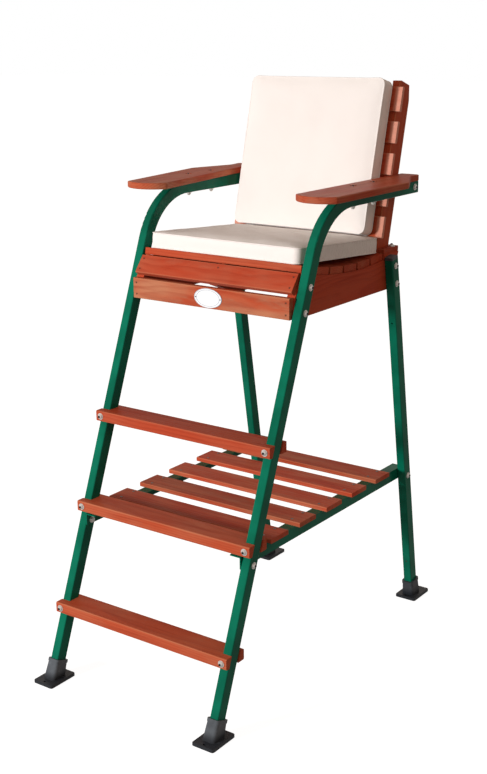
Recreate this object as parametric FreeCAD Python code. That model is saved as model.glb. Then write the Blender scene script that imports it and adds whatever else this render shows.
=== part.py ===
import FreeCAD, Part
import math
import os

# A raised umpire's chair for a tennis court, in millimetres.
# X runs to the right as one faces the chair, Y runs from front to back and Z is up.
# The origin is on the floor, in the middle between the four feet.

os.makedirs("parts", exist_ok=True)

V = FreeCAD.Vector
X_AXIS = V(1, 0, 0)
Y_AXIS = V(0, 1, 0)
Z_AXIS = V(0, 0, 1)

# Steel frame: two bent tubes carry the treads and the arms, two straight tubes stand behind
frame_width = 660.0
tube_width = 30.0
tube_depth = 40.0
tube_wall = 2.0
tube_corner = 4.0
front_lean = 21.0
rear_lean = 9.4
arm_top = 1499.0
bend_radius = 215.0
arm_past_bar = 22.0
rear_leg_top = 1259.0
cap_height = 9.0
cap_plug_depth = 13.0
cap_fit = 0.3
plug_flange = 2.0

# Moulded feet, pushed over the tube ends
base_depth = 1306.0
plate_width = 78.0
plate_length = 109.0
plate_height = 10.0
plate_corner = 7.0
front_toe_inset = 30.5
rear_toe_inset = 27.0
sleeve_wall = 5.0
sleeve_flare = 3.0
sleeve_length = 67.0
sleeve_rim = 10.0
sleeve_rim_lip = 1.6
tube_end_height = 26.0
foot_fit = 0.3
anchor_hole = 9.0
anchor_inset = 11.0

# Treads: thick boards, notched at both ends round the front tubes
tread_tops = {"tread_lower": 245.0, "tread_middle": 549.0, "tread_upper": 820.0}
tread_thickness = 34.0
tread_depth = 87.0
tread_nose = 28.0
tread_overrun = 3.0
tread_round = 4.0
notch_fit = 0.5

# Shelf: slats on two steel angles between the front and the rear tubes
rail_leg = 38.0
rail_gauge = 3.0
rail_top = 511.0
rail_end_inset = 3.0
rail_hole_rise = 12.0
shelf_slat_count = 5
shelf_slat_depth = 92.0
shelf_slat_thickness = 15.0
shelf_slat_pitch = 154.0
shelf_slat_overhang = 18.0
shelf_setback = 76.0

# Seat box: side boards bolted between the tubes and hollowed on top for the seat slats
side_board_thickness = 28.0
box_bottom = 1158.0
apron_height = 65.0
apron_rise = 2.0
apron_thickness = 20.0
apron_proud = 15.0
slat_end_inset = 5.0
nose_width = 64.0
nose_thickness = 20.0
nose_angle = 52.0
nose_foot_rise = 4.0
nose_foot_back = 6.0
dish_radius = 1400.0
dish_low_height = 1250.0
dish_low_ahead = 144.0
seat_slat_count = 6
seat_slat_gap = 9.0
seat_slat_thickness = 22.0
seat_rear_reach = 142.5
first_slat_overhang = 12.0
rear_board_width = 94.0
rear_board_thickness = 16.0
rear_board_bottom = 1275.0
rear_board_screw_inset = 28.0
board_round = 3.0
joist_thickness = 28.0
joist_bottom = 1190.0
joist_nose_cut = 106.0
seat_bolt_heights = [1252.0, 1180.0]
rear_bolt_heights = [1238.0, 1178.0]

# Back: two uprights on the side boards' inner faces, with slats across their fronts
back_lean = 14.0
back_setback = 4.0
stile_thickness = 28.0
stile_depth = 76.0
stile_top = 1813.0
stile_foot = 1202.0
stile_crest = 50.0
stile_crest_drop = 16.0
stile_head_depth = 62.0
stile_plumb_top = 1313.0
stile_foot_fit = 1.0
stile_round = 3.0
back_slat_count = 5
back_slat_thickness = 12.0
back_slat_width = 69.0
top_slat_width = 78.0
back_slat_pitch = 101.0
first_back_slat = 35.0
back_slat_end_inset = 9.0
back_bar_thickness = 25.0
back_bar_height = 30.0

# Armrests: boards lying on the arm tubes
armrest_thickness = 20.0
armrest_width = 142.0
armrest_length = 661.0
armrest_end_inset = 11.0
armrest_front_radius = 90.0
armrest_corner_round = 10.0
armrest_edge_round = 3.5
armrest_step_round = 45.0
armrest_tail_width = 68.0
armrest_tail_length = 62.0
armrest_step_length = 146.0
armrest_fit = 1.5
left_armrest_turn = 9.0
left_armrest_shift = 14.0
armrest_bolt_rear = 252.0
armrest_bolt_spacing = 122.0

# Cushions, with a crown and drawn-in borders
seat_cushion_width = 578.0
seat_cushion_depth = 474.0
seat_cushion_thickness = 46.5
seat_cushion_crown = 10.0
seat_cushion_inset = 9.0
seat_cushion_tilt = 4.0
back_cushion_width = 524.0
back_cushion_height = 500.0
back_cushion_thickness = 52.0
back_cushion_crown = 9.0
back_cushion_foot = 35.0
cushion_bulge = 4.0
cushion_nip = 7.0
cushion_squeeze = 0.12
cushion_swell = 2.6
cushion_stations = 6
cushion_clearance = 0.4
seat_cushion_clearance = 0.8

# Oval plate on the apron, with nothing written on it
badge_width = 104.0
badge_height = 60.0
badge_thickness = 1.2
badge_rim = 3.0
badge_rim_height = 0.6

# Bolts, nuts and coach screws, all with a flange against the work
bolt_diameter = 8.0
bolt_hole = 8.6
head_diameter = 16.0
head_height = 6.5
flange_diameter = 21.0
flange_thickness = 1.6
nut_across = 13.0
nut_height = 6.5
nut_dome = 5.0
lag_depth = 45.0
counterbore_diameter = 22.0
counterbore_depth = 8.0
drain_hole = 6.0
drain_height = 1043.0
lag_fit = 0.1
thread_fit = 0.05

# Moulded pieces: chords in each round corner, and the bevel along an upper edge
corner_chords = 4
mould_bevel = 1.3

# Values that follow from the ones above
outer_x = frame_width / 2
inner_x = outer_x - tube_width
tube_x = outer_x - tube_width / 2
front_angle = math.radians(front_lean)
rear_angle = math.radians(rear_lean)
back_angle = math.radians(back_lean)
front_toe = -base_depth / 2 + front_toe_inset
rear_toe = base_depth / 2 - plate_length + rear_toe_inset
front_section = tube_depth / math.cos(front_angle)
rear_section = tube_depth / math.cos(rear_angle)
arm_axis = arm_top - tube_depth / 2


def front_leg_front(height):
    """Y of the front face of a front tube at this height."""
    return front_toe + height * math.tan(front_angle)


def rear_leg_front(height):
    """Y of the front face of a rear tube at this height."""
    return rear_toe - height * math.tan(rear_angle)


def front_leg_centre(height):
    """Y of the middle of a front tube at this height."""
    return front_leg_front(height) + front_section / 2


def rear_leg_centre(height):
    """Y of the middle of a rear tube at this height."""
    return rear_leg_front(height) + rear_section / 2


def save(shape, name):
    """Writes one piece, or a group of equal pieces, under its name."""
    shape.exportStep("parts/" + name + ".step")


def mirrored(shape, side):
    """The right-hand shape itself, or its mirror image for the left-hand side."""
    return shape if side == "right" else shape.mirror(V(0, 0, 0), X_AXIS)


def save_pair(shape, name):
    """Writes the right-hand piece and its mirror image."""
    for side in ("left", "right"):
        save(mirrored(shape, side), name + "_" + side)


def both_sides(shapes):
    """The right-hand shapes together with their mirror images."""
    return [mirrored(shape, side) for side in ("left", "right") for shape in shapes]


def place(shape, origin, direction):
    """Turns a shape's Z axis to the direction and moves its origin to the point."""
    shape.Placement = FreeCAD.Placement(origin, FreeCAD.Rotation(Z_AXIS, direction))
    return shape


def polygon(points):
    """A closed wire through these points."""
    return Part.makePolygon(points + points[:1])


def side_outline(points):
    """A closed wire in the YZ plane through these (y, z) points."""
    return polygon([V(0, y, z) for y, z in points])


def stretched(wire, start, end):
    """Stretches a YZ outline along X from start to end."""
    solid = Part.Face(wire).extrude(V(end - start, 0, 0))
    solid.translate(V(start, 0, 0))
    return solid


def rounded_rectangle(width, depth, radius):
    """A wire in the XY plane with round corners, centred on the origin."""
    across = width / 2 - radius
    along = depth / 2 - radius
    slant = radius * math.sqrt(0.5)
    edges = []
    corners = [V(across, along, 0), V(-across, along, 0), V(-across, -along, 0), V(across, -along, 0)]
    for index, centre in enumerate(corners):
        turn = FreeCAD.Rotation(Z_AXIS, 90 * index)
        start = centre + turn.multVec(V(radius, 0, 0))
        middle = centre + turn.multVec(V(slant, slant, 0))
        end = centre + turn.multVec(V(0, radius, 0))
        edges.append(Part.Arc(start, middle, end).toShape())
        following = corners[(index + 1) % 4]
        next_start = following + FreeCAD.Rotation(Z_AXIS, 90 * (index + 1)).multVec(V(radius, 0, 0))
        edges.append(Part.makeLine(end, next_start))
    return Part.Wire(edges)


def faceted_rectangle(width, depth, radius=0.0):
    """The same wire with its round corners drawn as chords, for moulded pieces and tube bores."""
    chords = corner_chords if radius else 0
    points = []
    for index, (side, end) in enumerate([(1, 1), (-1, 1), (-1, -1), (1, -1)]):
        centre = V(side * (width / 2 - radius), end * (depth / 2 - radius), 0)
        for step in range(chords + 1):
            angle = math.pi / 2 * (index + step / max(chords, 1))
            points.append(centre + V(math.cos(angle), math.sin(angle), 0) * radius)
    return polygon(points)


def bevelled_block(width, depth, radius, height):
    """A moulded block standing at Z = 0, with its upper edge taken off."""
    sections = [faceted_rectangle(width, depth, radius), faceted_rectangle(width, depth, radius),
                faceted_rectangle(width - 2 * mould_bevel, depth - 2 * mould_bevel, radius - mould_bevel)]
    for section, level in zip(sections, (0, height - mould_bevel, height)):
        section.translate(V(0, 0, level))
    return Part.makeLoft(sections, True, True)


def plank(length, depth, thickness, radius):
    """A board along X with rounded long edges, centred on X and Y, with its underside at Z = 0."""
    section = rounded_rectangle(thickness, depth, radius)
    solid = Part.Face(section).extrude(V(0, 0, length))
    solid.translate(V(0, 0, -length / 2))
    solid.rotate(V(0, 0, 0), Y_AXIS, 90)
    solid.translate(V(0, 0, thickness / 2))
    return solid


def rod(start, direction, length, diameter):
    """A round bar from a point along a direction."""
    return Part.makeCylinder(diameter / 2, length, start, direction)


def revolved(points):
    """A solid of revolution about Z from (radius, z) points that start and end on the axis."""
    face = Part.Face(polygon([V(radius, 0, z) for radius, z in points]))
    return face.revolve(V(0, 0, 0), Z_AXIS, 360)


def domed_bolt(face, outward, grip):
    """A bolt with a flange and a domed head on a face, and a shank that goes this far in."""
    head = head_diameter / 2
    shank = bolt_diameter / 2
    top = flange_thickness + head_height
    bolt = revolved([(0, top), (head * 0.6, top - head_height * 0.18),
                     (head * 0.94, top - head_height * 0.6), (head, flange_thickness),
                     (flange_diameter / 2, flange_thickness), (flange_diameter / 2, 0),
                     (shank, 0), (shank, -grip), (0, -grip)])
    return place(bolt, face, outward)


def nut(face, outward, domed=False):
    """A hexagon nut with a flange, standing on a face, and closed by a dome when it is a cap nut."""
    radius = nut_across / math.sqrt(3)
    corners = [V(radius * math.cos(math.pi / 3 * k), radius * math.sin(math.pi / 3 * k), 0)
               for k in range(6)]
    body = Part.Face(polygon(corners)).extrude(V(0, 0, nut_height))
    body = body.fuse(Part.makeCylinder(flange_diameter / 2, flange_thickness))
    if domed:
        flat = nut_across / 2 - 0.5
        body = body.fuse(revolved([(0, flange_thickness), (flat, flange_thickness), (flat, nut_height),
                                   (flat * 0.7, nut_height + nut_dome * 0.75),
                                   (0, nut_height + nut_dome)]))
    body = body.cut(Part.makeCylinder(bolt_diameter / 2 + thread_fit, nut_height))
    return place(body, face, outward)


def joint_bolts(points, outward, grip, domed=False):
    """Bolts through a joint from these points on its face, and the nuts on its far side."""
    bolts = [domed_bolt(point, outward, grip + nut_height) for point in points]
    nuts = [nut(point - outward * grip, outward * -1, domed) for point in points]
    return bolts, nuts


def pierced(solid, holes):
    """Cuts a list of hole shapes out of a solid."""
    return solid.cut(Part.makeCompound(holes)) if holes else solid


# The hollow of the seat and the line of the back, which several pieces follow
back_base = rear_board_bottom + rear_board_thickness
back_front = rear_leg_front(back_base) + back_setback
dish_y = back_front - dish_low_ahead
dish_centre = dish_low_height + dish_radius


def dish(y, lift=0.0):
    """Height of the seat's hollow at this Y, or of a surface parallel to it."""
    return dish_centre - math.sqrt((dish_radius - lift) ** 2 - (y - dish_y) ** 2)


def stile_front(height):
    """Y of the front face of an upright at this height."""
    return back_front + (height - back_base) * math.tan(back_angle)


def stile_rear(height):
    """Y of the rear face of an upright at this height."""
    return stile_front(height) + stile_depth / math.cos(back_angle)


back_up = V(0, math.sin(back_angle), math.cos(back_angle))
back_out = V(0, -math.cos(back_angle), math.sin(back_angle))
back_origin = V(0, back_front, back_base)


# Bolt axes on the right-hand side
tread_fronts = {name: front_leg_front(top) - tread_nose for name, top in tread_tops.items()}
tread_bolt_points = [V(tube_x, tread_fronts[name], top - tread_thickness / 2)
                     for name, top in tread_tops.items()]
rail_bolt_height = rail_top - rail_leg + rail_hole_rise
rail_front_bolt = V(outer_x, front_leg_centre(rail_bolt_height), rail_bolt_height)
rail_rear_bolt = V(outer_x, rear_leg_centre(rail_bolt_height), rail_bolt_height)
seat_bolt_points = [V(outer_x, front_leg_centre(z), z) for z in seat_bolt_heights]
rear_bolt_points = [V(outer_x, rear_leg_centre(z), z) for z in rear_bolt_heights]


# Bent tube: foot, leg, bend and arm in one length
leg_run = arm_axis / math.cos(front_angle)
leg_line = V(0, math.sin(front_angle), math.cos(front_angle))
leg_base = V(tube_x, front_leg_centre(0), 0)
bend_corner = leg_base + leg_line * leg_run
bend_turn = math.pi / 2 - front_angle
bend_tangent = bend_radius * math.tan(bend_turn / 2)
front_tube_start = leg_base + leg_line * tube_end_height

bar_centre = V(0, stile_rear(arm_axis) + back_bar_thickness / 2 / math.cos(back_angle), arm_axis)
arm_bolt = V(outer_x, bar_centre.y, arm_axis)
arm_end = bar_centre.y + arm_past_bar
armrest_rear = arm_end - armrest_end_inset
armrest_front = armrest_rear - armrest_length
armrest_inner = inner_x - side_board_thickness + armrest_fit
armrest_bolt_points = [V(tube_x, armrest_rear - armrest_bolt_rear - armrest_bolt_spacing * k,
                         arm_top + armrest_thickness - counterbore_depth) for k in range(2)]


def swept(path, section):
    """Sweeps a section, turned square to the leg, from the leg's foot along the path."""
    section.Placement = FreeCAD.Placement(front_tube_start, FreeCAD.Rotation(X_AXIS, -front_lean))
    return path.makePipeShell([section], True, False)


def front_frame():
    """The right-hand bent tube with the holes for its bolts."""
    bend_start = bend_corner - leg_line * bend_tangent
    bend_end = bend_corner + Y_AXIS * bend_tangent
    middle = bend_end + V(0, -math.sin(bend_turn / 2), math.cos(bend_turn / 2) - 1) * bend_radius
    path = Part.Wire([Part.makeLine(front_tube_start, bend_start),
                      Part.Arc(bend_start, middle, bend_end).toShape(),
                      Part.makeLine(bend_end, V(tube_x, arm_end, arm_axis))])
    tube = swept(path, rounded_rectangle(tube_width, tube_depth, tube_corner))
    tube = tube.cut(swept(path, faceted_rectangle(tube_width - 2 * tube_wall, tube_depth - 2 * tube_wall)))
    holes = [rod(p, Y_AXIS, tread_depth, bolt_hole) for p in tread_bolt_points]
    holes += [rod(p + X_AXIS, X_AXIS * -1, tube_width + 2, bolt_hole)
              for p in seat_bolt_points + [rail_front_bolt, arm_bolt]]
    holes += [rod(p, Z_AXIS * -1, armrest_thickness + tube_depth, bolt_hole) for p in armrest_bolt_points]
    return pierced(tube, holes)


save_pair(front_frame(), "front_frame")


# Straight rear legs, leaning forward, with a plastic cap in the top of each
rear_line = V(0, -math.sin(rear_angle), math.cos(rear_angle))
rear_base = V(tube_x, rear_leg_centre(0), 0)
rear_run = rear_leg_top / math.cos(rear_angle)


def rear_prism(start, end, section):
    """A bar of this section between two distances along the rear leg's axis."""
    bar = Part.Face(section).extrude(V(0, 0, end - start))
    return place(bar, rear_base + rear_line * start, rear_line)


def rear_leg():
    """The right-hand rear leg with the holes for its bolts."""
    tube = rear_prism(tube_end_height, rear_run, rounded_rectangle(tube_width, tube_depth, tube_corner))
    tube = tube.cut(rear_prism(tube_end_height - 1, rear_run + 1,
                               faceted_rectangle(tube_width - 2 * tube_wall, tube_depth - 2 * tube_wall)))
    holes = [rod(p + X_AXIS, X_AXIS * -1, tube_width + 2, bolt_hole)
             for p in rear_bolt_points + [rail_rear_bolt]]
    holes.append(rod(V(tube_x, rear_leg_front(drain_height) - 1, drain_height), Y_AXIS,
                     tube_depth / 2, drain_hole))
    return pierced(tube, holes)


bore_plug = faceted_rectangle(tube_width - 2 * (tube_wall + cap_fit), tube_depth - 2 * (tube_wall + cap_fit))


def rear_cap():
    """The cap that closes the top of a rear leg: a plug inside and a head on the tube's end."""
    head = place(bevelled_block(tube_width, tube_depth, tube_corner, cap_height),
                 rear_base + rear_line * rear_run, rear_line)
    plug = rear_prism(rear_run - cap_plug_depth, rear_run + 1, bore_plug)
    return head.fuse(plug).removeSplitter()


save_pair(rear_leg(), "rear_leg")
save(Part.makeCompound(both_sides([rear_cap()])), "rear_leg_caps")


def arm_plug():
    """The plastic plug in the open rear end of an arm."""
    plug = Part.Face(bore_plug).extrude(V(0, 0, -cap_plug_depth))
    flange = Part.Face(faceted_rectangle(tube_width, tube_depth, tube_corner)).extrude(V(0, 0, plug_flange))
    both = flange.fuse(plug).removeSplitter()
    return place(both, V(tube_x, arm_end, arm_axis), Y_AXIS)


save(Part.makeCompound(both_sides([arm_plug()])), "arm_tube_plugs")


# Feet: a flat plate with two anchor holes and a flared sleeve that follows the tube's lean
def foot(plate_front, base, line):
    """The right-hand foot for a tube that stands at this base and runs along this line."""
    plate_centre = V(tube_x, plate_front + plate_length / 2, 0)
    plate = bevelled_block(plate_width, plate_length, plate_corner, plate_height)
    plate.translate(plate_centre)
    width = tube_width + 2 * (foot_fit + sleeve_wall)
    depth = tube_depth + 2 * (foot_fit + sleeve_wall)
    low = faceted_rectangle(width + 2 * sleeve_flare, depth + 2 * sleeve_flare, tube_corner + sleeve_wall)
    high = faceted_rectangle(width, depth, tube_corner + sleeve_wall)
    place(low, base + line * (plate_height - depth / 2), line)
    place(high, base + line * sleeve_length, line)
    sleeve = Part.makeLoft([low, high], True, True)
    rim = Part.Face(faceted_rectangle(width + 2 * sleeve_rim_lip, depth + 2 * sleeve_rim_lip,
                                      tube_corner + sleeve_wall)).extrude(V(0, 0, sleeve_rim))
    sleeve = sleeve.fuse(place(rim, base + line * (sleeve_length - sleeve_rim), line))
    reach = sleeve_length * 2
    floor = Part.makeBox(reach * 2, reach * 2, reach, V(tube_x - reach, plate_centre.y - reach,
                                                        plate_height / 2 - reach))
    body = plate.fuse(sleeve.cut(floor)).removeSplitter()
    pocket = Part.Face(faceted_rectangle(tube_width + 2 * foot_fit, tube_depth + 2 * foot_fit,
                                         tube_corner + foot_fit)).extrude(V(0, 0, sleeve_length))
    body = body.cut(place(pocket, base + line * tube_end_height, line))
    holes = [rod(plate_centre + V(0, end * (plate_length / 2 - anchor_inset), -1), Z_AXIS,
                 plate_height + 2, anchor_hole) for end in (-1, 1)]
    return pierced(body, holes)


save_pair(foot(-base_depth / 2, leg_base, leg_line), "foot_front")
save_pair(foot(base_depth / 2 - plate_length, rear_base, rear_line), "foot_rear")


# Treads: the front tubes pass through a slanting notch in each end
def tread(name):
    """One tread, from one side of the chair to the other."""
    top = tread_tops[name]
    board = plank(frame_width + 2 * tread_overrun, tread_depth, tread_thickness, tread_round)
    board.translate(V(0, tread_fronts[name] + tread_depth / 2, top - tread_thickness))
    low = top - tread_thickness - 5
    high = top + 5
    fit = notch_fit / math.cos(front_angle)
    notch = stretched(side_outline([(front_leg_front(low) - fit, low),
                                    (front_leg_front(low) + front_section + fit, low),
                                    (front_leg_front(high) + front_section + fit, high),
                                    (front_leg_front(high) - fit, high)]),
                      inner_x - notch_fit, outer_x + tread_overrun + 5)
    bolt_height = top - tread_thickness / 2
    hole = rod(V(tube_x, tread_fronts[name] - 1, bolt_height), Y_AXIS, tread_depth + 2, bolt_hole)
    return pierced(board, both_sides([notch, hole]))


for tread_name in tread_tops:
    save(tread(tread_name), tread_name)

tread_bolts, tread_nuts = joint_bolts(tread_bolt_points, Y_AXIS * -1, tread_depth)
save(Part.makeCompound(both_sides(tread_bolts)), "tread_bolts")
save(Part.makeCompound(both_sides(tread_nuts)), "tread_nuts")


# Shelf: angles on the inner faces of the tubes, with slats screwed down on their upper flanges
shelf_start = front_leg_front(rail_top) + front_section + shelf_setback


def shelf_rail():
    """The right-hand angle, its flat side against the tubes and its other flange on top."""
    front = front_leg_front(rail_top - rail_leg) + rail_end_inset
    rear = rear_leg_front(rail_top) + rear_section - rail_end_inset
    upright = Part.makeBox(rail_gauge, rear - front, rail_leg,
                           V(inner_x - rail_gauge, front, rail_top - rail_leg))
    flange = Part.makeBox(rail_leg, rear - front, rail_gauge,
                          V(inner_x - rail_leg, front, rail_top - rail_gauge))
    holes = [rod(V(inner_x + 1, p.y, p.z), X_AXIS * -1, rail_gauge + 2, bolt_hole)
             for p in (rail_front_bolt, rail_rear_bolt)]
    return pierced(upright.fuse(flange).removeSplitter(), holes)


save_pair(shelf_rail(), "shelf_rail")

for index in range(shelf_slat_count):
    slat = plank(2 * (inner_x + shelf_slat_overhang), shelf_slat_depth, shelf_slat_thickness, board_round)
    slat.translate(V(0, shelf_start + index * shelf_slat_pitch + shelf_slat_depth / 2, rail_top))
    save(slat, "shelf_slat_" + str(index + 1))

rail_bolts, rail_nuts = joint_bolts([rail_front_bolt, rail_rear_bolt], X_AXIS, tube_width + rail_gauge)
save(Part.makeCompound(both_sides(rail_bolts)), "shelf_rail_bolts")
save(Part.makeCompound(both_sides(rail_nuts)), "shelf_rail_nuts")


# Seat box
apron_back = front_leg_front(box_bottom + apron_rise + apron_height / 2) - apron_proud + apron_thickness
apron_top = box_bottom + apron_rise + apron_height
nose_slope = math.radians(nose_angle)
nose_foot = V(0, apron_back + nose_foot_back, apron_top + nose_foot_rise)
nose_run = V(0, math.cos(nose_slope), math.sin(nose_slope))
last_slat_rear = dish_y + dish_radius * math.sin(seat_rear_reach / dish_radius)
rear_board_front = last_slat_rear + seat_slat_gap
rear_board_rear = rear_board_front + rear_board_width
box_rear = rear_board_rear - board_round * 2


def nose_meets_dish():
    """The point where the slope behind the nose slat runs into the hollow."""
    centre = V(0, dish_y, dish_centre)
    offset = nose_foot - centre
    along = offset.dot(nose_run)
    reach = -along - math.sqrt(along ** 2 - offset.dot(offset) + dish_radius ** 2)
    far = -along + math.sqrt(along ** 2 - offset.dot(offset) + dish_radius ** 2)
    run = min(value for value in (reach, far) if value > 0)
    return nose_foot + nose_run * run


meeting = nose_meets_dish()
seat_front_reach = dish_radius * math.asin((meeting.y - first_slat_overhang - dish_y) / dish_radius)
seat_pitch = (seat_rear_reach - seat_front_reach + seat_slat_gap) / seat_slat_count
seat_slat_width = seat_pitch - seat_slat_gap


def box_board(front_points, rear_points, start, end):
    """A board on edge under the seat: its top carries the nose slat, the slats and the rear board."""
    step = rear_board_front - seat_slat_gap / 2
    step_low = V(0, step, dish(step))
    arc_middle = V(0, (meeting.y + step) / 2, dish((meeting.y + step) / 2))
    rear_seat = [step_low, V(0, step, rear_board_bottom)] + rear_points
    edges = [Part.Arc(meeting, arc_middle, step_low).toShape()]
    corners = rear_seat + front_points + [meeting]
    edges += [Part.makeLine(a, b) for a, b in zip(corners, corners[1:])]
    return stretched(Part.Wire(edges), start, end)


slat_length = 2 * (inner_x - slat_end_inset)
stile_outer = inner_x - side_board_thickness
stile_inner = stile_outer - stile_thickness
badge_y = apron_back - apron_thickness
badge_z = box_bottom + apron_rise + apron_height / 2


def slat_seat(index):
    """Centre of a seat slat's underside, the direction across it and the direction up from it."""
    angle = (seat_front_reach + seat_slat_width / 2 + seat_pitch * index) / dish_radius
    radius = math.sqrt(dish_radius ** 2 - (seat_slat_width / 2) ** 2)
    across = V(0, math.cos(angle), math.sin(angle))
    up = V(0, -math.sin(angle), math.cos(angle))
    return V(0, dish_y, dish_centre) - up * radius, across, up


rear_board_screw = V(inner_x - side_board_thickness / 2, rear_board_rear - rear_board_screw_inset, back_base)


def side_board():
    """The right-hand side board, with holes for its bolts, nails and screws."""
    slope_foot = nose_foot - nose_run * (nose_foot_back / math.cos(nose_slope))
    rear_bottom = rear_leg_front(box_bottom) + rear_section
    board = box_board([V(0, apron_back, box_bottom), slope_foot],
                      [V(0, box_rear, rear_board_bottom), V(0, rear_bottom, box_bottom)],
                      stile_outer, inner_x)
    holes = [rod(p, X_AXIS * -1, tube_width + side_board_thickness + 1, bolt_hole)
             for p in seat_bolt_points + rear_bolt_points]
    holes.append(rod(rear_board_screw, Z_AXIS * -1, rear_board_thickness + lag_depth,
                     bolt_diameter + 2 * lag_fit))
    return pierced(board, holes)


def joist():
    """The middle board under the slats, cut away below the nose."""
    return box_board([V(0, apron_back + joist_nose_cut, joist_bottom), nose_foot],
                     [V(0, box_rear, rear_board_bottom), V(0, box_rear, joist_bottom)],
                     -joist_thickness / 2, joist_thickness / 2)


save_pair(side_board(), "seat_side_board")
save(joist(), "seat_joist")

apron = plank(slat_length, apron_height, apron_thickness, board_round)
apron.rotate(V(0, 0, 0), X_AXIS, 90)
apron.translate(V(0, apron_back, badge_z))
save(apron, "seat_apron")

nose = plank(slat_length, nose_width, nose_thickness, board_round)
nose.rotate(V(0, 0, 0), X_AXIS, nose_angle)
nose.translate(nose_foot + nose_run * (nose_width / 2))
save(nose, "seat_nose_slat")

for index in range(seat_slat_count):
    seat, across, up = slat_seat(index)
    slat = plank(slat_length, seat_slat_width, seat_slat_thickness, board_round)
    slat.rotate(V(0, 0, 0), X_AXIS, math.degrees(math.asin(across.z)))
    slat.translate(seat)
    save(slat, "seat_slat_" + str(index + 1))

rear_board = plank(slat_length, rear_board_width, rear_board_thickness, board_round)
rear_board.translate(V(0, rear_board_front + rear_board_width / 2, rear_board_bottom))
notch_depth = stile_rear(back_base) + stile_foot_fit - rear_board_front
stile_notch = Part.makeBox(stile_thickness + 2 * stile_foot_fit, notch_depth + board_round,
                           rear_board_thickness + 2,
                           V(stile_inner - stile_foot_fit, rear_board_front - board_round,
                             rear_board_bottom - 1))
rear_board_hole = rod(rear_board_screw, Z_AXIS * -1, rear_board_thickness + 1, bolt_hole)
save(pierced(rear_board, both_sides([stile_notch, rear_board_hole])), "seat_rear_board")
save(Part.makeCompound(both_sides([domed_bolt(rear_board_screw, Z_AXIS,
                                              lag_depth + rear_board_thickness)])), "rear_board_screws")


# Badge: an oval plate with a raised rim
def oval(width, height, depth):
    """An upright oval slab whose back lies on the apron."""
    curve = Part.Ellipse(V(0, 0, 0), width / 2, height / 2)
    slab = Part.Face(Part.Wire([curve.toShape()])).extrude(V(0, 0, depth))
    return place(slab, V(0, badge_y, badge_z), Y_AXIS * -1)


rim = oval(badge_width, badge_height, badge_thickness + badge_rim_height)
rim = rim.cut(oval(badge_width - 2 * badge_rim, badge_height - 2 * badge_rim,
                   badge_thickness + badge_rim_height))
plate = oval(badge_width, badge_height, badge_thickness).fuse(rim).removeSplitter()
save(plate, "badge_plate")


# Back: uprights, slats and the bar behind them
def laid_on_back(board, along, out):
    """Turns a board made flat so that its underside lies against the uprights' fronts."""
    board.rotate(V(0, 0, 0), X_AXIS, 90 - back_lean)
    board.translate(back_origin + back_up * along + back_out * out)
    return board


back_widths = [back_slat_width] * (back_slat_count - 1) + [top_slat_width]
back_starts = [first_back_slat + back_slat_pitch * k for k in range(back_slat_count)]


def stile():
    """The right-hand upright, plumb at its foot and at the back of its head."""
    plumb = stile_front(stile_plumb_top)
    head_front = stile_front(stile_top)
    head_rear = head_front + stile_head_depth
    turn = back_base + (head_rear - stile_rear(back_base)) / math.tan(back_angle)
    board = stretched(side_outline([(plumb, stile_foot), (plumb, stile_plumb_top), (head_front, stile_top),
                                    (head_rear - stile_crest, stile_top),
                                    (head_rear, stile_top - stile_crest_drop),
                                    (head_rear, turn), (stile_rear(stile_foot), stile_foot)]),
                      stile_inner, stile_outer)
    board = board.makeFillet(stile_round, [edge for edge in board.Edges
                                           if abs(edge.tangentAt(edge.FirstParameter).x) < 0.5])
    bolt = rod(rear_bolt_points[0], X_AXIS * -1, outer_x - stile_inner + 1, bolt_hole)
    return pierced(board, [bolt])


save_pair(stile(), "back_stile")

for index in range(back_slat_count):
    slat = plank(2 * (inner_x - back_slat_end_inset), back_widths[index], back_slat_thickness, board_round)
    slat = laid_on_back(slat, back_starts[index] + back_widths[index] / 2, 0)
    save(slat, "back_slat_" + str(index + 1))

back_bar = plank(2 * inner_x - 1, back_bar_height, back_bar_thickness, board_round)
back_bar.rotate(V(0, 0, 0), X_AXIS, 90 - back_lean)
back_bar.translate(bar_centre - back_out * (back_bar_thickness / 2))
bar_lag_hole = rod(arm_bolt, X_AXIS * -1, tube_width + lag_depth, bolt_diameter + 2 * lag_fit)
save(pierced(back_bar, both_sides([bar_lag_hole])), "back_bar")
save(Part.makeCompound(both_sides([domed_bolt(arm_bolt, X_AXIS, tube_width + lag_depth)])),
     "back_bar_screws")


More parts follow.
